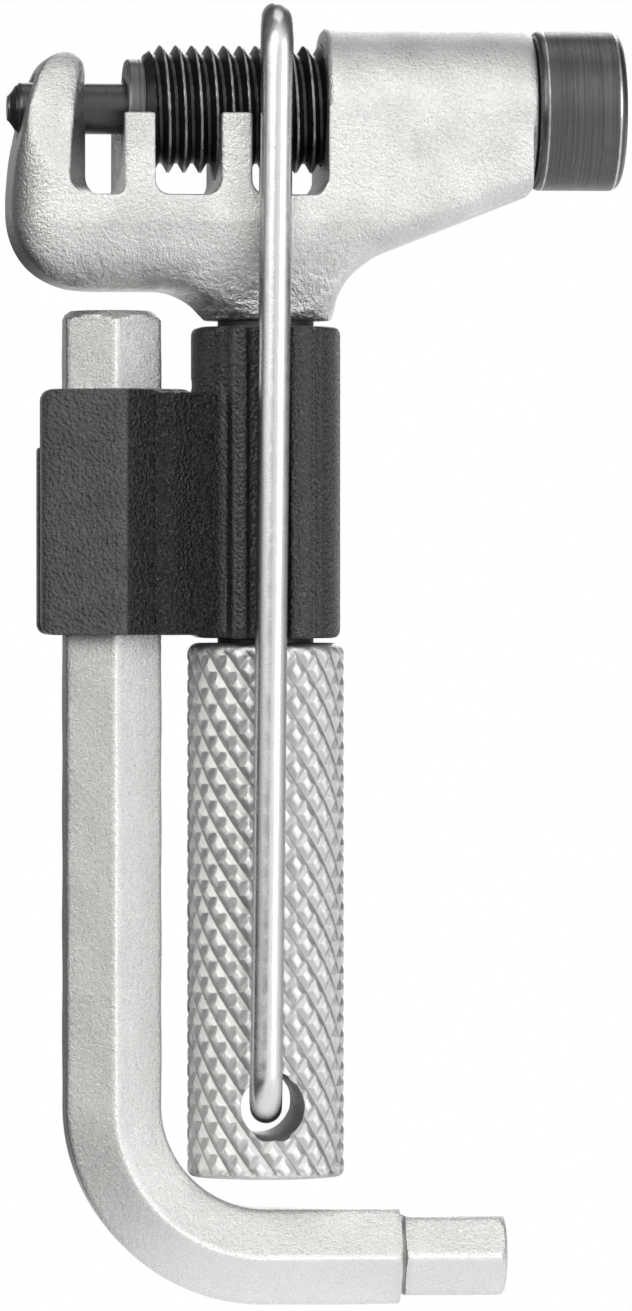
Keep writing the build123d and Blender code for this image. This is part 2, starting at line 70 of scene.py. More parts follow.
def shade(me, angle):
    """Smooth shading, with edges steeper than the angle (degrees) left sharp."""
    me.polygons.foreach_set("use_smooth", np.ones(len(me.polygons), bool))
    me.set_sharp_from_angle(angle=math.radians(angle))
    me.update()


def make_mesh(name, verts, faces, attrs=None, smooth_angle=35.0):
    """An object from vertices in metres; attrs maps names to one float per vertex."""
    me = bpy.data.meshes.new(name)
    me.from_pydata([tuple(v) for v in verts], [], [tuple(f) for f in faces])
    me.validate()
    me.update()
    for key, values in (attrs or {}).items():
        attribute = me.attributes.new(key, "FLOAT", "POINT")
        attribute.data.foreach_set("value", np.asarray(values, np.float32))
    ob = bpy.data.objects.new(name, me)
    scene.collection.objects.link(ob)
    shade(me, smooth_angle)
    return ob


def positions(me):
    """Vertex places in metres, as an (n, 3) array."""
    co = np.zeros(len(me.vertices) * 3)
    me.vertices.foreach_get("co", co)
    return co.reshape(-1, 3)


def set_positions(me, co):
    me.vertices.foreach_set("co", co.ravel())
    me.update()


def outward(ob):
    """Turn the faces to point out of the solid, judged by the sign of its volume."""
    me = ob.data
    co = positions(me)
    me.calc_loop_triangles()
    corners = np.zeros(len(me.loop_triangles) * 3, np.int64)
    me.loop_triangles.foreach_get("vertices", corners)
    corners = corners.reshape(-1, 3)
    a, b, c = co[corners[:, 0]], co[corners[:, 1]], co[corners[:, 2]]
    if np.einsum("ij,ij->i", a, np.cross(b, c)).sum() < 0:
        me.flip_normals()


def grid_faces(rows, cols, flip=False, loop=False):
    """Quads between closed rings of vertices; loop also joins the last ring to the first."""
    faces = []
    for i in range(rows if loop else rows - 1):
        after = (i + 1) % rows
        for j in range(cols):
            k = (j + 1) % cols
            a, b, c, d = i * cols + j, i * cols + k, after * cols + k, after * cols + j
            faces.append((a, d, c, b) if flip else (a, b, c, d))
    return faces


def tube(name, rings, attrs=None, smooth_angle=35.0, flip=False):
    """A skin over rings (rows, cols, 3) in mm, capped at both ends with fans.

    Attributes hold a value per ring vertex, or one per ring as a column.
    """
    rings = rings * MM
    rows, cols, _ = rings.shape
    count = rows * cols
    verts = np.vstack([rings.reshape(-1, 3), rings[0].mean(0), rings[-1].mean(0)])
    faces = grid_faces(rows, cols, flip)
    for j in range(cols):
        k = (j + 1) % cols
        first = (count, k, j)
        last = (count + 1, (rows - 1) * cols + j, (rows - 1) * cols + k)
        faces += [first[::-1], last[::-1]] if flip else [first, last]
    full = {}
    for key, values in (attrs or {}).items():
        values = np.broadcast_to(values, (rows, cols)).reshape(-1)
        full[key] = np.concatenate([values, [values[:cols].mean(), values[-cols:].mean()]])
    ob = make_mesh(name, verts, faces, full, smooth_angle)
    outward(ob)
    return ob


def turn(count):
    """Angles of `count` equal steps round a full circle."""
    return np.linspace(0, 2 * np.pi, count, endpoint=False)


def lathe_rings(profile, cols):
    """Rings about the X axis from a profile of (x, radius)."""
    angle = turn(cols)
    rings = np.zeros((len(profile), cols, 3))
    for i, (x, radius) in enumerate(profile):
        rings[i, :, 0] = x
        rings[i, :, 1] = -radius * np.sin(angle)
        rings[i, :, 2] = radius * np.cos(angle)
    return rings


def arc(centre, radius, start, end, count):
    """Points on an arc in a plane, angles in degrees."""
    return [(centre[0] + radius * math.cos(math.radians(a)),
             centre[1] + radius * math.sin(math.radians(a)))
            for a in np.linspace(start, end, count)]


def edge_wear_and_highlight(x, radius, spots):
    """Strongest brightening at each profile point: real wear on the collar, painted highlight on
    the knob. Spots are (x, radius, spread squared, strength).
    """
    return np.max([strength * np.exp(-((x - at_x) ** 2 + (radius - at_radius) ** 2) / spread)
                   for at_x, at_radius, spread, strength in spots], axis=0)


def prism_x(name, outline, x0, x1):
    """A solid between x0 and x1 with an outline of (y, z)."""
    n = len(outline)
    verts = [(x * MM, y * MM, z * MM) for x in (x0, x1) for y, z in outline]
    faces = [(i, (i + 1) % n, n + (i + 1) % n, n + i) for i in range(n)]
    faces += [tuple(reversed(range(n))), tuple(range(n, 2 * n))]
    ob = make_mesh(name, verts, faces)
    bm = bmesh.new()
    bm.from_mesh(ob.data)
    bmesh.ops.recalc_face_normals(bm, faces=bm.faces)
    bm.to_mesh(ob.data)
    bm.free()
    return ob


def evaluated(ob, name):
    """A new object holding ob's mesh with its modifiers applied."""
    depsgraph = bpy.context.evaluated_depsgraph_get()
    me = bpy.data.meshes.new_from_object(ob.evaluated_get(depsgraph))
    me.name = name
    out = bpy.data.objects.new(name, me)
    scene.collection.objects.link(out)
    return out


def add_difference(ob, name, tool, solver):
    modifier = ob.modifiers.new(name, "BOOLEAN")
    modifier.operation = "DIFFERENCE"
    modifier.solver = solver
    modifier.object = tool


def cut(ob, tool):
    """Subtract the tool; both are used up and the result takes ob's name."""
    add_difference(ob, "cut", tool, "MANIFOLD")
    bpy.context.view_layer.update()
    name = ob.name
    out = evaluated(ob, name)
    bpy.data.objects.remove(ob)
    bpy.data.objects.remove(tool)
    out.name = name
    return out


def cut_round(ob, name, axis, across, stations):
    """Cut a round hole along axis "y" or "z", centred on HANDLE_X and on `across` (z or y).

    Stations are (place along the axis, radius).
    """
    angle = turn(64)
    rings = []
    for place, radius in stations:
        x = HANDLE_X + radius * np.cos(angle)
        side = across + radius * np.sin(angle)
        along = np.full(len(angle), place)
        rings.append(np.stack([x, along, side] if axis == "y" else [x, side, along], -1))
    return cut(ob, tube(name, np.array(rings)))


def remeshed(node, name, voxel, cutters=()):
    """An even voxel skin (size in mm) over a CAD piece, less the cutters."""
    source = bpy.data.objects.new("tmp_" + name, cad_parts[node].data.copy())
    scene.collection.objects.link(source)
    weld = source.modifiers.new("weld", "WELD")
    weld.merge_threshold = 0.002 * MM
    for k, tool in enumerate(cutters):
        add_difference(source, "cut_%d" % k, tool, "EXACT")
    remesh = source.modifiers.new("voxels", "REMESH")
    remesh.mode = "VOXEL"
    remesh.voxel_size = voxel * MM
    remesh.adaptivity = 0.0
    bpy.context.view_layer.update()
    ob = evaluated(source, name)
    for used in (source, *cutters):
        bpy.data.objects.remove(used)
    return ob


def smooth(me, rounds, weight):
    """Move each vertex half way to its neighbours' mean, times its weight, every round."""
    edges = np.zeros(len(me.edges) * 2, np.int64)
    me.edges.foreach_get("vertices", edges)
    edges = edges.reshape(-1, 2)
    n = len(me.vertices)
    co = positions(me)
    degree = np.bincount(edges.ravel(), minlength=n).astype(float)
    degree[degree == 0] = 1
    step = weight.reshape(-1, 1) * 0.5
    for _ in range(rounds):
        total = np.zeros_like(co)
        for k in range(3):
            total[:, k] = (np.bincount(edges[:, 0], co[edges[:, 1], k], n)
                           + np.bincount(edges[:, 1], co[edges[:, 0], k], n))
        co = co + step * (total / degree[:, None] - co)
    set_positions(me, co)


def ramp(value, start, end):
    """0 at start, 1 at end, eased between."""
    t = np.clip((value - start) / (end - start), 0, 1)
    return t * t * (3 - 2 * t)


def finish_piece(ob, material, body, node):
    """Give the piece its material and hand it to the frame in place of a CAD node."""
    ob.data.materials.clear()
    ob.data.materials.append(material)
    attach(ob, body)
    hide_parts(node)


# ------------------------------------------------------------------ material nodes

def with_alpha(color):
    return color if isinstance(color, bpy.types.NodeSocket) else (*color, 1)


class Material:
    """Builds a node material. Coordinates, noise scales and distances are in mm."""

    def __init__(self, name):
        self.material = bpy.data.materials.new(name)
        self.material.use_nodes = True
        self.tree = self.material.node_tree
        coordinates = self.node("TexCoord")
        mapping = self.node("Mapping")
        mapping.inputs["Scale"].default_value = (1 / MM,) * 3
        self.put(mapping.inputs["Vector"], coordinates.outputs["Object"])
        self.place = mapping.outputs["Vector"]

    def node(self, kind):
        return self.tree.nodes.new("ShaderNode" + kind)

    def put(self, socket, value):
        """Link a socket, or set a plain value."""
        if isinstance(value, bpy.types.NodeSocket):
            self.tree.links.new(value, socket)
        else:
            socket.default_value = value

    def math(self, operation, a, b=0.0):
        node = self.node("Math")
        node.operation = operation
        for socket, value in zip(node.inputs, (a, b, 0.0)):
            self.put(socket, value)
        return node.outputs[0]

    def times(self, a, b):
        return self.math("MULTIPLY", a, b)

    def plus(self, a, b):
        return self.math("ADD", a, b)

    def minus(self, a, b):
        return self.math("SUBTRACT", a, b)

    def maximum(self, a, b):
        return self.math("MAXIMUM", a, b)

    def noise(self, detail, rough, scale=1.0, stretch=None):
        """Noise; stretch scales each axis first, and a low value draws it out along that axis."""
        place = self.place
        if stretch is not None:
            mapping = self.node("Mapping")
            mapping.inputs["Scale"].default_value = stretch
            self.put(mapping.inputs["Vector"], self.place)
            place = mapping.outputs["Vector"]
        node = self.node("TexNoise")
        self.put(node.inputs["Vector"], place)
        node.inputs["Scale"].default_value = scale
        node.inputs["Detail"].default_value = detail
        node.inputs["Roughness"].default_value = rough
        return node.outputs["Fac"]

    def turned_lines(self, along, scale):
        """Fine ridges round the turning axis."""
        return self.noise(detail=4, rough=0.7,
                          stretch=[scale if axis == along else 0.04 for axis in "xyz"])

    def cells(self, scale):
        node = self.node("TexVoronoi")
        node.feature = "SMOOTH_F1"
        self.put(node.inputs["Vector"], self.place)
        node.inputs["Scale"].default_value = scale
        return node.outputs["Distance"]

    def remap(self, value, between, to=(0.0, 1.0)):
        """Ease a value lying between two limits to the range `to`."""
        node = self.node("MapRange")
        node.interpolation_type = "SMOOTHSTEP"
        self.put(node.inputs["Value"], value)
        for key, limit in zip(("From Min", "From Max", "To Min", "To Max"), (*between, *to)):
            node.inputs[key].default_value = limit
        return node.outputs["Result"]

    def mix(self, amount, base, over):
        """The colour `over` laid on `base` by an amount."""
        node = self.node("Mix")
        node.data_type = "RGBA"
        self.put(node.inputs["Factor"], amount)
        self.put(node.inputs[6], with_alpha(base))
        self.put(node.inputs[7], with_alpha(over))
        return node.outputs[2]

    def axis(self, letter):
        node = self.node("SeparateXYZ")
        self.put(node.inputs[0], self.place)
        return node.outputs["xyz".index(letter)]

    def facing(self):
        node = self.node("LayerWeight")
        node.inputs["Blend"].default_value = 0.5
        return node.outputs["Facing"]

    def attribute(self, name):
        node = self.node("Attribute")
        node.attribute_name = name
        return node.outputs["Fac"]

    def pointiness(self):
        return self.node("NewGeometry").outputs["Pointiness"]

    def openness(self, distance):
        """Ambient occlusion: 0 in cavities, 1 in the open."""
        node = self.node("AmbientOcclusion")
        node.samples = 4
        node.only_local = True
        node.inputs["Distance"].default_value = distance * MM
        return node.outputs["AO"]

    def bump(self, height, distance, strength, over=None):
        """Bump normals, laid over earlier normals where given."""
        node = self.node("Bump")
        node.inputs["Strength"].default_value = strength
        node.inputs["Distance"].default_value = distance * MM
        self.put(node.inputs["Height"], height)
        if over is not None:
            self.put(node.inputs["Normal"], over)
        return node.outputs["Normal"]

    def finish(self, color, metallic, rough, normal, specular=0.5):
        inputs = self.tree.nodes["Principled BSDF"].inputs
        self.put(inputs["Base Color"], color)
        self.put(inputs["Metallic"], metallic)
        self.put(inputs["Roughness"], rough)
        self.put(inputs["Specular IOR Level"], specular)
        self.put(inputs["Normal"], normal)
        return self.material


def turned_steel(name, dark, light, rough, metallic, scale, along="x"):
    """Turned metal between two tones, brighter where the "edge" attribute is high."""
    m = Material(name)
    lines = m.turned_lines(along, scale)
    patch = m.noise(scale=0.9, detail=4, rough=0.6)
    worn = m.plus(m.attribute("edge"), m.times(patch, 0.5))
    tone = m.mix(m.remap(lines, between=(0.3, 0.7)), base=dark, over=light)
    tone = m.mix(m.times(patch, 0.45), base=tone, over=dark)
    tone = m.mix(m.times(m.remap(worn, between=(0.8, 1.2)), 0.6), base=tone,
                 over=tuple(min(1.0, c * 2.4 + 0.12) for c in light))
    normal = m.bump(lines, distance=0.02, strength=0.6)
    fine = m.noise(scale=14, detail=2, rough=0.5)
    normal = m.bump(fine, distance=0.006, strength=0.5, over=normal)
    return m.finish(tone, metallic, m.remap(patch, between=(0.25, 0.75), to=rough), normal)


# ------------------------------------------------------------------ cast head

SLOT_FLOOR_Z = -5.47

# What is cut from each side of the tower, as (y, z): the tower narrows towards its top
TOWER_SIDE = [
    (5.30, -5.0), (5.08, -4.2), (4.94, -3.2), (4.74, -2.2), (4.50, -1.2), (4.20, -0.2),
    (3.84, 0.8), (3.40, 1.8), (3.00, 2.5), (2.50, 3.1), (1.80, 3.6), (1.0, 3.95),
    (1.0, 6.0), (8.0, 6.0), (8.0, -5.0),
]


def cast_nickel():
    m = Material("cast_nickel")
    grain = m.noise(scale=7.5, detail=3, rough=0.6)
    sand = m.noise(scale=3.8, detail=4, rough=0.7)
    broad = m.noise(scale=0.32, detail=3, rough=0.5)
    coarse = m.noise(scale=1.7, detail=3, rough=0.6)
    specks = m.noise(scale=7.0, detail=3, rough=0.6)
    wear = m.remap(m.pointiness(), between=(0.53, 0.60))
    # painted shade: 1 where ambient occlusion finds a cavity, 0 in the open
    painted_cavity_shade = m.minus(1.0, m.remap(m.openness(distance=1.2), between=(0.15, 0.85)))
    low = m.remap(m.axis("z"), between=(-8.0, -12.0))

    tone = m.mix(m.remap(broad, between=(0.3, 0.7)),
                 base=(0.64, 0.638, 0.632), over=(0.80, 0.798, 0.79))
    # light grain and dark specks
    tone = m.mix(m.remap(grain, between=(0.42, 0.70), to=(0, 0.5)),
                 base=tone, over=(0.92, 0.92, 0.91))
    tone = m.mix(m.remap(specks, between=(0.52, 0.66), to=(0, 0.36)),
                 base=tone, over=(0.44, 0.435, 0.425))
    # painted shade in the cavities, found by ambient occlusion, and bright edges
    tone = m.mix(m.times(painted_cavity_shade, 0.55), base=tone, over=(0.20, 0.195, 0.185))
    tone = m.mix(m.times(wear, 0.6), base=tone, over=(0.95, 0.95, 0.94))
    # the lower part is lighter and coarser
    tone = m.mix(m.times(low, m.remap(coarse, between=(0.42, 0.60), to=(0, 0.6))),
                 base=tone, over=(0.93, 0.93, 0.92))

    rough = m.plus(m.remap(sand, between=(0.3, 0.7), to=(0.27, 0.40)), m.times(wear, -0.06))
    height = m.plus(m.times(grain, 0.55), m.times(sand, 0.9))
    height = m.plus(height, m.times(m.times(coarse, low), 3.0))
    normal = m.bump(height, distance=0.085, strength=1.0)
    swell = m.noise(scale=0.9, detail=2, rough=0.5)
    normal = m.bump(swell, distance=0.05, strength=0.5, over=normal)
    return m.finish(tone, 1.0, rough, normal)


def shape_head(x, y, z):
    """Move the head's skin: slot floor, foot of the tower and lower part."""
    # the skin between the tower and the barrel sits lower
    seat = ramp(x, -4.3, -3.5) * (1 - ramp(x, 11.25, 11.5)) * ramp(z, -8.2, -6.2)
    z = z - 0.22 * seat

    # large round at the foot of the tower's inner (+X) face, which slants away at its sides
    wall = -3.14 - np.clip(np.abs(y) - 1.9, 0, None) * 0.3875
    radius, slack = 1.15, 0.08
    out, up = x - wall, z - SLOT_FLOOR_Z
    near = (out > -slack) & (up > -slack) & (out < radius) & (up < radius) & (z < -3.9)
    reach = np.hypot(radius - out, radius - up) + 1e-9
    pull = np.clip(np.where(near, radius / reach, 1.0), 0.0, 4.0)
    x = np.where(near, wall + radius - (radius - out) * pull, x)
    z = np.where(near, SLOT_FLOOR_Z + radius - (radius - up) * pull, z)

    # flat floor from that round to the first tooth
    up = z - SLOT_FLOOR_Z
    flat = (x - wall >= radius) & (x < -2.2) & (up > -slack) & (up < 0.6)
    z = np.where(flat, SLOT_FLOOR_Z, z)

    # below the slots the front and rear faces fall back, less so at the +X end
    lower = np.clip(-7.1 - z, 0, 4.6)
    handle_hole = (np.hypot(x - HANDLE_X, y) < 3.4) & (z < -6)
    taper = 1 - 0.026 * lower ** 1.08 * (1 - 0.6 * ramp(x, 13.0, 16.0))
    y = np.where(handle_hole, y, y * taper)
    return x, y, z


def head():
    tools = [prism_x("side_%d" % k, [(side * y, z) for y, z in TOWER_SIDE], -9.0, -3.0)
             for k, side in enumerate((1, -1))]
    ob = remeshed("tool_body", "cast_head", 0.12, tools)
    me = ob.data
    x, y, z = shape_head(*(positions(me) / MM).T)
    set_positions(me, np.stack([x, y, z], -1) * MM)

    from_screw = np.hypot(y, z)
    handle_hole = np.hypot(x - HANDLE_X, y) < 3.4
    # everything but the threaded bore
    bore = (from_screw < 4.35) & (x > 11.2)
    smooth(me, 3, np.where(bore, 0.0, 1.0))
    # the neck, the gusset and the lower -X corner flow into one another
    soft = ramp(-z, 6.5, 9.0) * (1 - ramp(-z, 12.4, 13.0))
    smooth(me, 26, np.where(handle_hole, 0, soft))
    # top of the tower
    smooth(me, 22, ramp(z, -0.5, 1.2) * (x < -2.9))
    # the tower's outer (-X) face and the underside are fully rounded, but not the pin's hole
    outer = np.maximum(ramp(-x, 4.8, 6.2) * ramp(-z, -1.0, 1.5),
                       ramp(-z, 7.6, 9.6) * (1 - ramp(-z, 11.9, 12.6)))
    pin_hole = (x < -3.4) & (from_screw < 2.6)
    smooth(me, 60, np.where(handle_hole, 0, outer) * np.where(pin_hole, 0.0, 1.0))
    # outside of the barrel round the screw
    smooth(me, 4, np.where((x > 11.9) & (from_screw > 4.4), 0.7, 0.0))
    shade(me, 70)
    finish_piece(ob, cast_nickel(), body="frame", node="tool_body")


# ------------------------------------------------------------------ key bracket

def black_nylon():
    m = Material("black_nylon")
    # 1 on the sleeve round the handle
    from_handle = m.math("ABSOLUTE", m.minus(m.axis("x"), HANDLE_X))
    sleeve = m.remap(from_handle, between=(3.4, 3.0))
    fine = m.noise(scale=6.5, detail=3, rough=0.65)
    cell = m.cells(scale=4.6)
    run = m.noise(detail=4, rough=0.65, stretch=(3.2, 3.2, 0.30))
    patch = m.noise(scale=0.6, detail=4, rough=0.55)
    wear = m.remap(m.pointiness(), between=(0.53, 0.61))
    # painted light: the key clip's front-left panel is painted lighter, as if lit from the left
    painted_lit_panel = m.times(m.remap(m.axis("x"), between=(-0.68, -0.92)),
                    m.remap(m.axis("y"), between=(-1.0, -1.6)))

    tone = m.mix(patch, base=(0.005, 0.005, 0.0052), over=(0.014, 0.014, 0.014))
    tone = m.mix(m.times(m.remap(fine, between=(0.56, 0.68)), 0.6),
                 base=tone, over=(0.16, 0.16, 0.16))
    # painted light laid on the front panel
    tone = m.mix(m.times(painted_lit_panel, m.remap(patch, between=(0.2, 0.8), to=(0.65, 1.0))),
                 base=tone, over=(0.135, 0.135, 0.135))
    tone = m.mix(m.times(wear, 0.4), base=tone, over=(0.13, 0.13, 0.13))
    tone = m.mix(m.times(m.remap(run, between=(0.60, 0.72)), 0.16),
                 base=tone, over=(0.17, 0.17, 0.17))

    rough = m.plus(m.remap(patch, between=(0.3, 0.7), to=(0.19, 0.28)), m.times(sleeve, 0.04))
    # the moulded texture is shallower on the sleeve
    height = m.plus(m.times(fine, 0.8), m.times(cell, 1.0))
    height = m.times(height, m.minus(1.0, m.times(sleeve, 0.75)))
    normal = m.bump(height, distance=0.34, strength=1.0)
    normal = m.bump(run, distance=0.10, strength=0.7, over=normal)
    swell = m.noise(scale=1.3, detail=3, rough=0.6, stretch=(1.6, 1.6, 0.7))
    normal = m.bump(swell, distance=0.12, strength=0.6, over=normal)
    return m.finish(tone, 0.0, rough, normal, specular=0.75)


def bracket():
    ob = remeshed("key_bracket", "key_clip_bracket", 0.115)
    me = ob.data
    # the clip's outside corners move towards +X; the hexagonal bore keeps its place
    shift, slice_step, slice_half = 0.5, 0.15, 0.12
    x, y, z = (positions(me) / MM).T
    deep = np.abs(y)
    bore = np.clip(3.62 - 0.577 * np.abs(x - KEY_X), 1.5, None)
    slices = np.arange(-6.0, 2.11, slice_step)
    for side in (-1, 1):
        middle = (z > -30) & (z < -20) & (y * side > 0)
        depths = [deep[middle & (np.abs(x - at) < slice_half)].max(initial=0.0) for at in slices]
        skin = np.interp(x, slices, depths)
        on = (y * side > 0) & (deep > bore) & (x > -5.6) & (x < 1.3) & (skin > bore + 0.2)
        # 0 at the bore, 1 at the skin
        part = np.where(on, np.clip((deep - bore) / np.maximum(skin - bore, 0.2), 0, 1), 0.0)
        x = x + shift * part * ramp(x, -5.4, -1.5) * (1 - ramp(x, -1.3, 1.2))
    set_positions(me, np.stack([x, y, z], -1) * MM)

    # the two holes are smoothed less than the outside
    x, y, z = (positions(me) / MM).T
    key_hole = (np.abs(x - KEY_X) < 3.5) & (np.abs(y) < 3.6)
    handle_hole = np.hypot(x - HANDLE_X, y) < 3.2
    smooth(me, 5, np.where(key_hole | handle_hole, 0.25, 1.0))
    shade(me, 60)
    finish_piece(ob, black_nylon(), body="frame", node="key_bracket")


# ------------------------------------------------------------------ drive screw and knob

SCREW_COLUMNS = 144
TOOL_COLUMNS = 72
THREAD_START, THREAD_END = 0.6, 24.4
THREAD_PHASE = 0.68         # x of a crest at angle 0; the pitch is 1
THREAD_RADIUS = 4.0         # where the flanks start
CREST_RADIUS = 3.975
ROOT_RADIUS = 3.40
FLANK_SLOPE = 1.732
CREST_HALF_WIDTH = 0.055

# (x, radius)
KNOB_PROFILE = [
    (24.7, 3.39), (24.99, 3.39), (25.0, 3.5), (25.0, 4.45),
    *arc((25.5, 4.5), 0.5, 180, 90, 9),
    (25.58, 5.0), (25.7, 5.0), (25.9, 5.0), (26.6, 5.0), (27.6, 5.0), (28.6, 5.0),
    (29.4, 5.0), (29.7, 5.0),
    *arc((29.85, 4.3), 0.7, 90, 0, 22),
    (30.55, 4.2), (30.55, 3.6), (30.55, 3.12), (30.5, 3.05),
]

# painted highlights along the knob's rims, as (x, radius, spread squared, strength)
KNOB_HIGHLIGHTS = [
    (25.58, 5.0, 0.0121, 0.85), (25.10, 4.80, 0.0144, 0.6), (30.08, 4.97, 0.0144, 1.0),
    (30.40, 4.75, 0.0144, 0.6), (30.55, 3.1, 0.0289, 1.0),
]

SOCKET_APOTHEM = 2.5
SOCKET_ENDS = (26.05, 31.2)     # x of its floor, and past the knob's end
SOCKET_CHAMFER = [(30.02, 2.42), (30.7, 3.12)]
PIN_BORE = [(-0.5, 2.5), (5.25, 2.5)]


def black_oxide():
    m = Material("black_oxide")
    lines = m.turned_lines("x", scale=5.0)
    fine = m.turned_lines("x", scale=17.0)
    knob = m.attribute("knob")
    patch = m.noise(scale=1.6, detail=4, rough=0.6)

    # bare metal on thread crests and in scratches on the knob, and painted highlights on the
    # knob's rims
    crest = m.plus(m.attribute("crest"), m.times(patch, 0.25))
    # painted highlight: the edge attribute is high only on the knob's rims
    edge = m.plus(m.attribute("edge"), m.times(patch, 0.5))
    scratch_noise = m.noise(detail=3, rough=0.7, stretch=(12, 0.5, 0.5))
    scratch = m.times(m.remap(scratch_noise, between=(0.62, 0.72)), knob)
    bright = m.times(m.remap(crest, between=(1.00, 1.16)), 0.40)
    bright = m.maximum(bright, m.times(m.remap(edge, between=(0.70, 1.15)), 0.8))
    bright = m.maximum(bright, m.times(scratch, 0.16))

    thread_tone = m.mix(patch, base=(0.030, 0.030, 0.031), over=(0.080, 0.079, 0.079))
    knob_tone = m.mix(m.remap(lines, between=(0.35, 0.7)),
                      base=(0.095, 0.095, 0.096), over=(0.165, 0.164, 0.164))
    knob_tone = m.mix(m.remap(patch, between=(0.3, 0.75), to=(0, 0.4)),
                      base=knob_tone, over=(0.105, 0.102, 0.10))
    tone = m.mix(knob, base=thread_tone, over=knob_tone)
    tone = m.mix(bright, base=tone, over=(0.74, 0.74, 0.73))

    rough = m.minus(m.remap(patch, between=(0.2, 0.8), to=(0.26, 0.38)), m.times(bright, 0.08))
    normal = m.bump(lines, distance=0.03, strength=0.6)
    normal = m.bump(fine, distance=0.012, strength=0.6, over=normal)
    grain = m.noise(scale=12, detail=2, rough=0.5)
    normal = m.bump(grain, distance=0.008, strength=0.5, over=normal)
    return m.finish(tone, 0.9, rough, normal)


def screw():
    x, angle = np.meshgrid(np.linspace(THREAD_START, THREAD_END, 762), turn(SCREW_COLUMNS),
                           indexing="ij")
    turns = x - THREAD_PHASE - angle / (2 * np.pi)
    from_crest = np.abs(turns - np.round(turns))
    radius = THREAD_RADIUS - np.clip(from_crest - CREST_HALF_WIDTH, 0, None) * FLANK_SLOPE
    radius = np.clip(radius, ROOT_RADIUS, CREST_RADIUS)
    # lead-in at the nose and run-out at the knob
    lead_in = 3.36 + (x - THREAD_START) * 0.72
    run_out = ROOT_RADIUS + np.clip(23.9 - x, 0, None) * 0.8
    radius = np.minimum(radius, np.minimum(lead_in, run_out))
    radius[-1] = ROOT_RADIUS
    crest = (radius - ROOT_RADIUS) / (CREST_RADIUS - ROOT_RADIUS)

    thread = np.stack([x, -radius * np.sin(angle), radius * np.cos(angle)], -1)
    knob_rings = lathe_rings(KNOB_PROFILE, SCREW_COLUMNS)
    rings = np.vstack([thread, knob_rings])
    # painted highlights on the knob's rims, none on the thread
    wear = edge_wear_and_highlight(rings[:, 0, 0], np.hypot(rings[:, 0, 1], rings[:, 0, 2]), KNOB_HIGHLIGHTS)
    wear[:len(thread)] = 0
    ob = tube("drive_screw_and_knob", rings, {
        "crest": np.vstack([crest, np.zeros((len(knob_rings), SCREW_COLUMNS))]),
        "edge": wear[:, None],
        "knob": np.where(rings[:, :, 0] > 24.8, 1.0, 0.0),
    }, 32)

    corner = SOCKET_APOTHEM / math.cos(math.pi / 6)
    socket = [[(end, -corner * math.sin(t), corner * math.cos(t))
               for t in np.radians(np.arange(0, 360, 60))] for end in SOCKET_ENDS]
    ob = cut(ob, tube("socket_tool", np.array(socket)))
    ob = cut(ob, tube("socket_cone", lathe_rings(SOCKET_CHAMFER, TOOL_COLUMNS)))
    ob = cut(ob, tube("nose_tool", lathe_rings(PIN_BORE, TOOL_COLUMNS)))
    shade(ob.data, 32)
    finish_piece(ob, black_oxide(), body="screw", node="drive_screw")


# ------------------------------------------------------------------ pin and its collar

# (x, radius)
PIN_PROFILE = [
    (-7.89, 0.30), (-7.89, 0.62),
    *arc((-7.77, 0.70), 0.12, 180, 100, 5),
    (-7.55, 1.12), (-7.40, 1.38),
    *arc((-7.0, 1.30), 0.30, 150, 90, 6),
    *[(x, 1.6) for x in np.linspace(-6.6, 3.9, 24)],
    (3.99, 1.6), (4.0, 1.65), (4.0, 2.2), (4.05, 2.29), (4.2, 2.3), (5.0, 2.3),
    (5.15, 2.25), (5.2, 2.1), (5.2, 0.4),
]

# (x, radius), a closed outline
COLLAR_PROFILE = [
    (3.95, 1.66), (3.95, 2.3), (3.88, 2.45), (3.7, 2.485), (0.62, 2.485), (0.6, 2.55),
    (0.6, 3.0), (0.55, 3.08), (0.45, 3.1), (0.28, 3.1), (0.24, 3.07), (0.18, 3.07),
    (0.14, 3.1), (-0.2, 3.1),
    *arc((-0.30, 2.85), 0.25, 90, 180, 8),
    (-0.55, 2.7), (-0.55, 2.1), (-0.54, 1.92), (-0.5, 1.82), (-0.42, 1.74), (-0.3, 1.68),
    (-0.1, 1.66), (1.5, 1.66),
]
COLLAR_COLUMNS = 120

# (x, radius, spread squared, strength)
COLLAR_WEAR = [(-0.48, 3.03, 0.012, 1.0), (-0.5, 1.85, 0.012, 1.0), (0.58, 3.06, 0.01, 1.0)]


def pin():
    x, radius = np.array(PIN_PROFILE).T
    # worn at the tip's rim and on the cone behind it
    wear = (np.exp(-((x + 7.80) ** 2 + (radius - 0.78) ** 2) / 0.03)
            + 0.8 * np.exp(-(x + 7.2) ** 2 / 0.02))
    ob = tube("press_pin", lathe_rings(PIN_PROFILE, 96), {"edge": wear[:, None]}, 30)
    steel = turned_steel("pin_steel", dark=(0.085, 0.084, 0.083), light=(0.105, 0.104, 0.103),
                         rough=(0.24, 0.30), metallic=0.85, scale=3.0)
    finish_piece(ob, steel, body="pin", node="drive_pin")


def collar():
    rings = lathe_rings(COLLAR_PROFILE, COLLAR_COLUMNS) * MM
    faces = grid_faces(len(COLLAR_PROFILE), COLLAR_COLUMNS, flip=True, loop=True)
    wear = edge_wear_and_highlight(*np.array(COLLAR_PROFILE).T, COLLAR_WEAR)
    ob = make_mesh("pin_retaining_collar", rings.reshape(-1, 3), faces,
                   {"edge": np.repeat(wear, COLLAR_COLUMNS)}, 30)
    outward(ob)
    steel = turned_steel("retainer_steel", dark=(0.15, 0.149, 0.147),
                         light=(0.175, 0.174, 0.172), rough=(0.32, 0.44), metallic=0.9, scale=4.0)
    finish_piece(ob, steel, body="screw", node="pin_retainer")


# ------------------------------------------------------------------ knurled handle

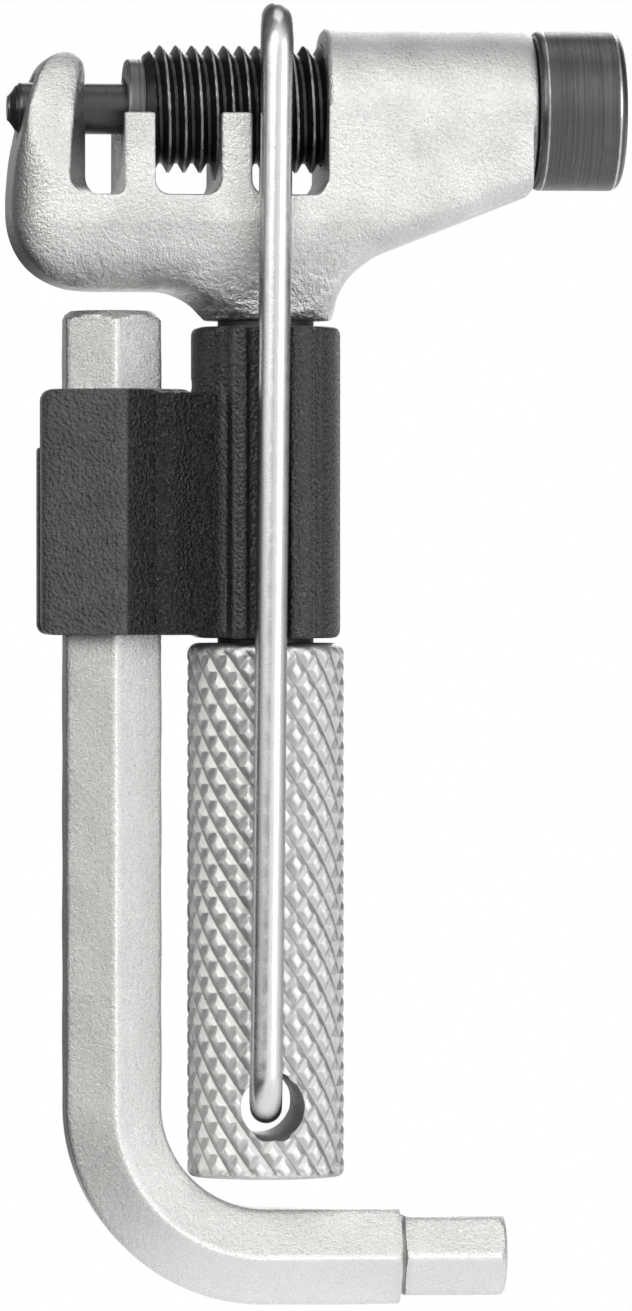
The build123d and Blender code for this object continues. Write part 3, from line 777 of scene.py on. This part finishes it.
GRIP_TOP, GRIP_BOTTOM = -33.3, -66.6
GRIP_RADIUS = 4.9
TOP_ROUND, BOTTOM_ROUND = 0.7, 0.4
GROOVES = 20            # round the grip, in each direction
GROOVE_LEAD = 2.0       # z per groove step
GROOVE_DEPTH = 0.25
CROSS_HOLE_RADIUS = 2.0
SINK_START, SINK_END, SINK_RADIUS = 4.62, 5.2, 2.48     # |y|, |y|, radius at the end


def knurled_steel():
    m = Material("knurled_steel")
    height = m.attribute("height")
    grain = m.noise(scale=9, detail=4, rough=0.65)
    patch = m.noise(scale=0.5, detail=4, rough=0.6)
    crown = m.plus(height, m.times(grain, 0.35))

    tone = m.mix(patch, base=(0.58, 0.58, 0.575), over=(0.74, 0.74, 0.735))
    # painted shade in the grooves, and bright crowns
    tone = m.mix(m.times(m.remap(height, between=(0.20, 0.0)), 0.75),
                 base=tone, over=(0.17, 0.17, 0.17))
    tone = m.mix(m.times(m.remap(crown, between=(0.92, 1.10)), 0.8),
                 base=tone, over=(0.96, 0.96, 0.955))
    rough = m.remap(grain, between=(0.3, 0.7), to=(0.30, 0.46))
    normal = m.bump(grain, distance=0.05, strength=0.8)
    dents = m.noise(scale=2.6, detail=3, rough=0.6)
    normal = m.bump(dents, distance=0.05, strength=0.4, over=normal)
    return m.finish(tone, 1.0, rough, normal)


def handle():
    top_start = GRIP_TOP - TOP_ROUND
    bottom_start = GRIP_BOTTOM + BOTTOM_ROUND
    levels = np.concatenate([
        top_start + TOP_ROUND * np.sin(np.linspace(np.pi / 2, 0, 10)),
        np.linspace(GRIP_TOP - 0.75, GRIP_BOTTOM + 0.42, 350),
        bottom_start - BOTTOM_ROUND * np.sin(np.linspace(0, np.pi / 2, 8)),
    ])
    envelope = np.full(len(levels), GRIP_RADIUS)
    for on, start, size in ((levels > top_start, top_start, TOP_ROUND),
                            (levels < bottom_start, bottom_start, BOTTOM_ROUND)):
        rise = np.sqrt(np.clip(size ** 2 - (levels[on] - start) ** 2, 0, None))
        envelope[on] = GRIP_RADIUS - size + rise

    z, angle = np.meshgrid(levels, turn(GROOVES * 18), indexing="ij")
    a = GROOVES * angle / (2 * np.pi) + z / GROOVE_LEAD
    b = GROOVES * angle / (2 * np.pi) - z / GROOVE_LEAD
    # 0 in a groove, 1 on a ridge; family a is rolled deeper than family b
    from_a = np.abs(a - np.round(a)) * 2
    from_b = np.abs(b - np.round(b)) * 2
    height = np.minimum(np.clip(from_a / 0.72, 0, 1), np.clip(from_b / 0.74 + 0.16, 0, 1))
    ragged = 0.06 * (np.sin(a * 2.1 + 1.7 * np.sin(b * 0.9)) * np.sin(b * 1.7 + 2.0))
    height = np.clip(height + ragged * (height > 0.05), 0, 1)
    # the knurl fades out at both ends
    fade = ramp(GRIP_TOP - z, 0.15, 0.9) * ramp(z - GRIP_BOTTOM, 0.05, 0.5)
    radius = envelope[:, None] - GROOVE_DEPTH * fade * (1 - height)
    rings = np.stack([HANDLE_X + radius * np.cos(angle), radius * np.sin(angle), z], -1)
    # the rings run downwards, so the faces are flipped
    ob = tube("knurled_grip", rings, {"height": np.where(fade > 0.3, height, 0.6)}, 180,
              flip=True)

    inner, wide = CROSS_HOLE_RADIUS, SINK_RADIUS
    for name, axis, across, stations in (
            ("cross_tool", "y", HOOK_PIVOT_Z, [(-8, inner), (8, inner)]),
            ("sink_tool", "y", HOOK_PIVOT_Z, [(SINK_START, inner), (SINK_END, wide)]),
            ("sink_tool2", "y", HOOK_PIVOT_Z, [(-SINK_END, wide), (-SINK_START, inner)]),
            # bore in the top end
            ("bore_tool", "z", 0, [(-43.4, 3.01), (-30, 3.01)])):
        ob = cut_round(ob, name, axis, across, stations)
    shade(ob.data, 24)
    finish_piece(ob, knurled_steel(), body="frame", node="grip_handle")


# ------------------------------------------------------------------ hex key

KEY_COLUMNS = 144
KEY_TOP = -12.6
KEY_ARM_Z = -71.6       # axis of the short arm
KEY_BEND = 9.5
KEY_FLATS, KEY_CORNER = 6.0, 3.40       # across flats, corner radius from the axis
TIP_FLATS, TIP_CORNER = 5.0, 2.79       # the reduced hexagon at the short arm's end

KEY_TOP_DEPTHS = (0.0, 0.02, 0.06, 0.15, 0.3, 0.45, 0.58, 0.66, 0.72, 0.8)
# Stations along the short arm: (x, limit radius), or (x, radius) for the round neck
KEY_SHOULDER = [(16.30, 3.40), (16.40, 3.38), (16.50, 3.30), (16.57, 3.20), (16.595, 3.10)]
KEY_NECK = [(16.60, 2.75), (16.62, 2.50), (16.72, 2.44), (16.82, 2.44), (16.88, 2.47)]
TIP_START = [(16.90, 2.62), (16.94, 2.74), (17.0, 2.82), (17.08, 3.0)]
TIP_END = [(22.78, 2.88), (22.85, 2.80), (22.95, 2.70), (23.08, 2.56),
           (23.18, 2.44), (23.24, 2.34), (23.265, 2.24), (23.27, 2.1)]


def key_plate():
    m = Material("key_plate")
    fine = m.noise(scale=8, detail=4, rough=0.7)
    sand = m.noise(scale=3.2, detail=4, rough=0.7)
    drawn = m.noise(detail=4, rough=0.7, stretch=(5, 5, 0.25))
    patch = m.noise(scale=0.30, detail=4, rough=0.6)
    nick = m.noise(scale=2.2, detail=4, rough=0.75)
    edge = m.attribute("edge")
    lit = m.remap(m.plus(edge, m.times(nick, 0.8)), between=(1.05, 1.35))

    tone = m.mix(patch, base=(0.78, 0.78, 0.775), over=(0.90, 0.90, 0.89))
    tone = m.mix(m.remap(fine, between=(0.4, 0.75), to=(0, 0.4)),
                 base=tone, over=(0.97, 0.97, 0.96))
    tone = m.mix(m.remap(sand, between=(0.60, 0.72), to=(0, 0.38)),
                 base=tone, over=(0.46, 0.455, 0.445))
    # painted highlights along the corners, with dark nicks in them
    tone = m.mix(m.times(lit, 0.8), base=tone, over=(1.0, 1.0, 0.99))
    tone = m.mix(m.times(m.remap(m.plus(edge, nick), between=(1.50, 1.62)), 0.5),
                 base=tone, over=(0.22, 0.215, 0.21))
    # painted shade in the recessed neck behind the tip
    tone = m.mix(m.times(m.attribute("dark"), 0.60), base=tone, over=(0.12, 0.115, 0.11))

    rough = m.minus(m.remap(fine, between=(0.3, 0.7), to=(0.24, 0.34)), m.times(lit, 0.08))
    height = m.plus(fine, m.times(sand, 0.9))
    normal = m.bump(height, distance=0.06, strength=1.0)
    normal = m.bump(drawn, distance=0.02, strength=0.4, over=normal)
    return m.finish(tone, 1.0, rough, normal)


def hex_radius(angle, flats, corner):
    """Radius of a hexagon with vertices at 0, 60, ... degrees, its corners broken."""
    soft = 0.05
    radius = flats / 2 / np.cos((angle % (np.pi / 3)) - np.pi / 6)
    start = corner - soft
    over = np.clip(radius - start, 0, None)
    return np.where(radius > start, start + soft * (1 - np.exp(-over / soft)), radius)


def hex_key():
    # angle 0 lies along +Y, so two corners point to +Y and -Y
    angle = turn(KEY_COLUMNS)
    body = hex_radius(angle, KEY_FLATS, KEY_CORNER)
    tip = hex_radius(angle, TIP_FLATS, TIP_CORNER)
    # painted highlight along each corner of the hexagon, carried by the "edge" attribute
    corners = np.exp(-((((angle + np.pi / 6) % (np.pi / 3)) - np.pi / 6) / 0.045) ** 2)
    rings, edges, neck_shades = [], [], []

    # dark is the share of painted shade laid on the ring
    def add(centre, tangent, radius, edge, dark=0.0):
        tangent = np.array(tangent, float)
        tangent /= np.linalg.norm(tangent)
        across = np.array([0.0, 1.0, 0.0])
        other = np.cross(tangent, across)
        spokes = np.cos(angle)[:, None] * across + np.sin(angle)[:, None] * other
        rings.append(np.array(centre)[None] + radius[:, None] * spokes)
        edges.append(edge)
        neck_shades.append(np.full(KEY_COLUMNS, dark))

    def add_down(z, radius, edge):
        add((KEY_X, 0, z), (0, 0, -1), radius, edge)

    def add_along(x, radius, edge, dark=0.0):
        add((x, 0, KEY_ARM_Z), (1, 0, 0), radius, edge, dark)

    # top end: a small round, then a chamfer across the corners
    for depth in KEY_TOP_DEPTHS:
        if depth < 0.04:
            limit = 2.5 + depth * 4
            edge = np.full(KEY_COLUMNS, 0.85)
        else:
            limit = 2.58 + depth * (0.9 / 0.66)
            edge = np.where(body > limit, 0.35, corners)
        add_down(KEY_TOP - depth, np.minimum(body, limit), edge)
    # long arm, bend and short arm
    bend_z = KEY_ARM_Z + KEY_BEND
    for z in np.linspace(KEY_TOP - 1.2, bend_z + 0.1, 150):
        add_down(z, body, corners)
    for degrees in np.linspace(0, 90, 64):
        a = math.radians(degrees)
        centre = (KEY_X + KEY_BEND - KEY_BEND * math.cos(a), 0, bend_z - KEY_BEND * math.sin(a))
        add(centre, (math.sin(a), 0, -math.cos(a)), body, corners)
    for x in np.linspace(8.3, 16.1, 26):
        add_along(x, body, corners)
    # shoulder, round neck and reduced tip, with painted shade strongest in the recessed neck
    for x, limit in KEY_SHOULDER:
        add_along(x, np.minimum(body, limit), np.where(body > limit, 0.4, corners * 0.7), 0.1)
    for x, radius in KEY_NECK:
        add_along(x, np.full(KEY_COLUMNS, radius), np.zeros(KEY_COLUMNS), 0.9)
    for x, limit in TIP_START:
        add_along(x, np.minimum(tip, limit), corners * 0.5, 0.1)
    for x in np.linspace(17.4, 22.7, 20):
        add_along(x, tip, corners)
    for x, limit in TIP_END:
        add_along(x, np.minimum(tip, limit), np.where(tip > limit, 0.4, corners))

    # the plated surface isn't quite flat, and a touch under size
    rings = np.array(rings)
    x, y, z = rings[:, :, 0], rings[:, :, 1], rings[:, :, 2]
    uneven = 0.018 * np.sin(z * 0.9 + x * 0.7) * np.sin(y * 1.1 + 0.5)
    centres = rings.mean(1, keepdims=True)
    rings = centres + (rings - centres) * (1 + uneven[:, :, None] / 3.0 - 0.006)
    ob = tube("l_shaped_hex_key", rings, {"edge": np.array(edges), "dark": np.array(neck_shades)}, 22)
    finish_piece(ob, key_plate(), body="key", node="hex_key")


# ------------------------------------------------------------------ wire hook

HOOK_HALF_WIDTH = 6.3       # from the middle to the axis of each leg
FOOT_BEND = 2.0
CROWN_BEND = 2.5
FOOT_END = 2.0              # |y| where each foot ends inside the handle
CROWN_Z = 5.54
WIRE_RADIUS = 1.0
WIRE_ENDS = [(0.0, 0.72), (0.05, 0.86), (0.14, 0.96)]       # (distance from the end, radius)
HOOK_TWIST = math.radians(5.5)      # about Z
HOOK_LEAN = math.radians(0.62)      # about Y
CROWN_CLEARANCE = 66.885            # least distance of the crown's skin from the pivot


def wire_material():
    m = Material("wire")
    drawn = m.noise(detail=4, rough=0.7, stretch=(7, 7, 0.12))
    patch = m.noise(scale=0.35, detail=4, rough=0.6)
    stain = m.noise(scale=1.6, detail=4, rough=0.7)
    tone = m.mix(patch, base=(0.78, 0.78, 0.785), over=(0.92, 0.92, 0.92))
    tone = m.mix(m.remap(drawn, between=(0.60, 0.72), to=(0, 0.5)),
                 base=tone, over=(0.45, 0.45, 0.455))
    tone = m.mix(m.remap(stain, between=(0.64, 0.74), to=(0, 0.5)),
                 base=tone, over=(0.50, 0.50, 0.50))
    # painted shade: the wire is darker towards its sides, where it turns away from the camera
    tone = m.mix(m.remap(m.facing(), between=(0.22, 0.66), to=(0, 0.66)),
                 base=tone, over=(0.17, 0.17, 0.175))
    polish = m.noise(scale=1.2, detail=3, rough=0.6)
    rough = m.remap(polish, between=(0.3, 0.7), to=(0.19, 0.30))
    normal = m.bump(drawn, distance=0.012, strength=0.5)
    grain = m.noise(scale=10, detail=2, rough=0.5)
    normal = m.bump(grain, distance=0.006, strength=0.4, over=normal)
    return m.finish(tone, 1.0, rough, normal)


def hook_path():
    """The wire's axis as (y, z above the pivot), from the foot at -Y round to the one at +Y."""
    points = []

    def line(start, end, step):
        start, end = np.array(start, float), np.array(end, float)
        count = max(2, int(np.linalg.norm(end - start) / step) + 1)
        points.extend(start + (end - start) * t for t in np.linspace(0, 1, count)[:-1])

    def bend(centre, radius, start, end):
        for a in np.linspace(math.radians(start), math.radians(end), 18)[:-1]:
            points.append(np.array([centre[0] + radius * math.cos(a),
                                    centre[1] + radius * math.sin(a)]))

    leg = HOOK_HALF_WIDTH
    top = CROWN_Z - HOOK_PIVOT_Z
    foot_y, crown_y = leg - FOOT_BEND, leg - CROWN_BEND
    crown_start = top - CROWN_BEND
    line((-FOOT_END, 0), (-foot_y, 0), 0.3)
    bend((-foot_y, FOOT_BEND), FOOT_BEND, 270, 180)
    line((-leg, FOOT_BEND), (-leg, crown_start), 1.0)
    bend((-crown_y, crown_start), CROWN_BEND, 180, 90)
    line((-crown_y, top), (crown_y, top), 0.35)
    bend((crown_y, crown_start), CROWN_BEND, 90, 0)
    line((leg, crown_start), (leg, FOOT_BEND), 1.0)
    bend((foot_y, FOOT_BEND), FOOT_BEND, 0, -90)
    line((foot_y, 0), (FOOT_END, 0), 0.3)
    points.append(np.array([FOOT_END, 0.0]))
    return np.array(points)


def hook():
    path = hook_path()
    tangents = np.gradient(path, axis=0)
    tangents /= np.linalg.norm(tangents, axis=1)[:, None]
    first, last = tangents[0], tangents[-1]
    stations = [(path[0] + first * inset, first, r) for inset, r in WIRE_ENDS]
    stations += [(path[i], tangents[i], WIRE_RADIUS) for i in range(1, len(path) - 1)]
    stations += [(path[-1] - last * inset, last, r) for inset, r in reversed(WIRE_ENDS)]

    angle = turn(40)
    across = np.array([1.0, 0.0, 0.0])
    rings = []
    for point, tangent, radius in stations:
        normal = np.array([0.0, -tangent[1], tangent[0]])
        spokes = np.cos(angle)[:, None] * across + np.sin(angle)[:, None] * normal
        rings.append(np.array([0.0, point[0], point[1]])[None] + radius * spokes)
    rings = np.array(rings)

    # twist, then lean
    x, y, z = rings[..., 0], rings[..., 1], rings[..., 2]
    cos, sin = math.cos(HOOK_TWIST), math.sin(HOOK_TWIST)
    x, y = x * cos + y * sin, -x * sin + y * cos
    cos, sin = math.cos(HOOK_LEAN), math.sin(HOOK_LEAN)
    x, z = x * cos + z * sin, -x * sin + z * cos
    # inside of the crown, relieved so that it swings clear of the tower
    reach = np.hypot(x, z)
    inside = (reach < CROWN_CLEARANCE) & (np.abs(y) < 3.5) & (z > 60)
    push = np.where(inside, CROWN_CLEARANCE / reach, 1.0)
    rings = np.stack([x * push + HANDLE_X, y, z * push + HOOK_PIVOT_Z], -1)
    ob = tube("wire_hook", rings, smooth_angle=60)
    finish_piece(ob, wire_material(), body="hook", node="chain_hook")


# ------------------------------------------------------------------ handle stud

def stud():
    """The CAD stud keeps its mesh and gets a material and beveled edges."""
    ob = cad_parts["handle_stud"]
    ob.data.materials.clear()
    ob.data.materials.append(turned_steel(
        "stud_steel", dark=(0.030, 0.030, 0.031), light=(0.060, 0.060, 0.061),
        rough=(0.35, 0.5), metallic=0.6, scale=4.0, along="z"))
    bevel = ob.modifiers.new("edges", "BEVEL")
    bevel.width = 0.1 * MM
    bevel.segments = 2


# ------------------------------------------------------------------ floor

FLOOR_Z = -74.95 * MM
FLOOR_HALF = 3.0        # metres


def floor_material():
    """White to the camera; to other rays a surface that is grey and glows towards +X."""
    material = bpy.data.materials.new("floor_white")
    material.use_nodes = True
    nodes, link = material.node_tree.nodes, material.node_tree.links.new
    surface = nodes["Principled BSDF"]
    surface.inputs["Base Color"].default_value = (0.36, 0.36, 0.36, 1)
    surface.inputs["Roughness"].default_value = 0.9
    surface.inputs["Specular IOR Level"].default_value = 0.1

    position = nodes.new("ShaderNodeNewGeometry")
    split = nodes.new("ShaderNodeSeparateXYZ")
    link(position.outputs["Position"], split.inputs[0])

    def fade_x(target, **limits):
        """Drive a socket by the place along X, in metres."""
        node = nodes.new("ShaderNodeMapRange")
        node.interpolation_type = "SMOOTHSTEP"
        for key, value in limits.items():
            node.inputs[key.replace("_", " ").title()].default_value = value
        link(split.outputs["X"], node.inputs["Value"])
        link(node.outputs["Result"], target)

    glow = nodes.new("ShaderNodeEmission")
    fade_x(glow.inputs["Strength"], from_min=-0.022, from_max=0.004, to_min=0.0, to_max=0.58)
    fade_x(surface.inputs["Base Color"],
           from_min=-0.024, from_max=0.002, to_min=0.08, to_max=0.40)
    lit = nodes.new("ShaderNodeAddShader")
    link(surface.outputs[0], lit.inputs[0])
    link(glow.outputs[0], lit.inputs[1])

    white = nodes.new("ShaderNodeEmission")
    white.inputs["Color"].default_value = (1, 1, 1, 1)
    white.inputs["Strength"].default_value = 1.0
    rays = nodes.new("ShaderNodeLightPath")
    # share of white that the camera sees
    share = nodes.new("ShaderNodeMath")
    share.operation = "MULTIPLY"
    share.inputs[1].default_value = 1.0
    mix = nodes.new("ShaderNodeMixShader")
    link(rays.outputs["Is Camera Ray"], share.inputs[0])
    link(share.outputs[0], mix.inputs["Fac"])
    link(lit.outputs[0], mix.inputs[1])
    link(white.outputs[0], mix.inputs[2])
    link(mix.outputs[0], nodes["Material Output"].inputs["Surface"])
    return material


def floor():
    me = bpy.data.meshes.new("floor")
    corners = [(x * FLOOR_HALF, y * FLOOR_HALF, FLOOR_Z)
               for x, y in ((-1, -1), (1, -1), (1, 1), (-1, 1))]
    me.from_pydata(corners, [], [(0, 1, 2, 3)])
    ob = bpy.data.objects.new("floor", me)
    scene.collection.objects.link(ob)
    me.materials.append(floor_material())


# ------------------------------------------------------------------ world and lights

AMBIENT = 0.14
# Soft patches of light: (direction, full within degrees, gone beyond degrees, strength)
LOBES = [
    ((0.06, -1.0, -0.10), 38, 94, 0.68),
    ((0.85, -0.55, -0.05), 12, 44, 0.22),
    ((-0.87, -0.50, 0.12), 6, 32, 0.50),
    ((0.0, -0.62, 0.80), 10, 34, 0.20),
    ((0.2, 1.0, 0.2), 14, 42, 0.36),
]

LIGHT_TARGET = (0.010, 0, -0.034)
# (name, place in metres, size in metres, watts, color)
LIGHTS = [
    ("key_light", (-0.26, -0.46, 0.24), (0.30, 0.40), 1.0, (1.0, 0.99, 0.97)),
    ("fill_light", (0.42, -0.40, 0.06), (0.26, 0.42), 0.7, (0.98, 0.99, 1.0)),
    ("top_light", (0.04, 0.05, 0.50), (0.35, 0.30), 0.3, (1, 1, 1)),
    ("back_light", (0.15, 0.50, 0.22), (0.30, 0.40), 0.8, (1, 1, 1)),
]


def studio_world():
    """White to the camera; the lobes and a little ambient light to everything else."""
    world = bpy.data.worlds.new("studio")
    scene.world = world
    world.use_nodes = True
    nodes, link = world.node_tree.nodes, world.node_tree.links.new
    nodes.clear()
    output = nodes.new("ShaderNodeOutputWorld")
    coordinates = nodes.new("ShaderNodeTexCoord")
    total = None
    for direction, inner, outer, strength in LOBES:
        dot = nodes.new("ShaderNodeVectorMath")
        dot.operation = "DOT_PRODUCT"
        link(coordinates.outputs["Generated"], dot.inputs[0])
        dot.inputs[1].default_value = Vector(direction).normalized()
        lobe = nodes.new("ShaderNodeMapRange")
        lobe.interpolation_type = "SMOOTHSTEP"
        link(dot.outputs["Value"], lobe.inputs["Value"])
        lobe.inputs["From Min"].default_value = math.cos(math.radians(outer))
        lobe.inputs["From Max"].default_value = math.cos(math.radians(inner))
        lobe.inputs["To Min"].default_value = 0.0
        lobe.inputs["To Max"].default_value = strength
        add = nodes.new("ShaderNodeMath")
        add.operation = "ADD"
        if total is None:
            add.inputs[0].default_value = AMBIENT
        else:
            link(total, add.inputs[0])
        link(lobe.outputs["Result"], add.inputs[1])
        total = add.outputs[0]

    studio = nodes.new("ShaderNodeBackground")
    studio.inputs["Color"].default_value = (1.0, 0.995, 0.985, 1)
    link(total, studio.inputs["Strength"])
    white = nodes.new("ShaderNodeBackground")
    white.inputs["Color"].default_value = (1, 1, 1, 1)
    white.inputs["Strength"].default_value = 1.0
    rays = nodes.new("ShaderNodeLightPath")
    mix = nodes.new("ShaderNodeMixShader")
    link(rays.outputs["Is Camera Ray"], mix.inputs["Fac"])
    link(studio.outputs[0], mix.inputs[1])
    link(white.outputs[0], mix.inputs[2])
    link(mix.outputs[0], output.inputs["Surface"])


def area_light(name, place, size, watts, color):
    light = bpy.data.lights.new(name, "AREA")
    light.shape = "RECTANGLE"
    light.size, light.size_y = size
    light.energy = watts
    light.color = color
    ob = bpy.data.objects.new(name, light)
    ob.location = place
    aim = Vector(LIGHT_TARGET) - Vector(place)
    ob.rotation_euler = aim.to_track_quat("-Z", "Y").to_euler()
    scene.collection.objects.link(ob)
    ob.visible_camera = False


# ------------------------------------------------------------------ camera

CAMERA_TARGET = Vector((0.01147, 0.0, -0.0341))
CAMERA_AZIMUTH = math.radians(-6.1)     # from -Y, positive towards +X
CAMERA_ELEVATION = math.radians(0.5)
CAMERA_DISTANCE = 0.619


def camera():
    data = bpy.data.cameras.new("camera")
    ob = bpy.data.objects.new("camera", data)
    scene.collection.objects.link(ob)
    data.sensor_width = 36.0
    data.sensor_fit = "AUTO"
    data.lens = 271.9
    data.clip_start = 0.01
    data.clip_end = 20
    level = math.cos(CAMERA_ELEVATION)
    back = Vector((math.sin(CAMERA_AZIMUTH) * level, -math.cos(CAMERA_AZIMUTH) * level,
                   math.sin(CAMERA_ELEVATION)))
    ob.location = CAMERA_TARGET + back * CAMERA_DISTANCE
    ob.rotation_euler = (-back).to_track_quat("-Z", "Y").to_euler()
    scene.camera = ob


# ------------------------------------------------------------------ build

for build in (head, bracket, screw, pin, collar, handle, hex_key, hook, stud, floor,
              studio_world):
    build()
for light_values in LIGHTS:
    area_light(*light_values)
scene.view_settings.view_transform = "Standard"
scene.view_settings.look = "None"
scene.view_settings.exposure = 0.0
scene.view_settings.gamma = 1.0
camera()
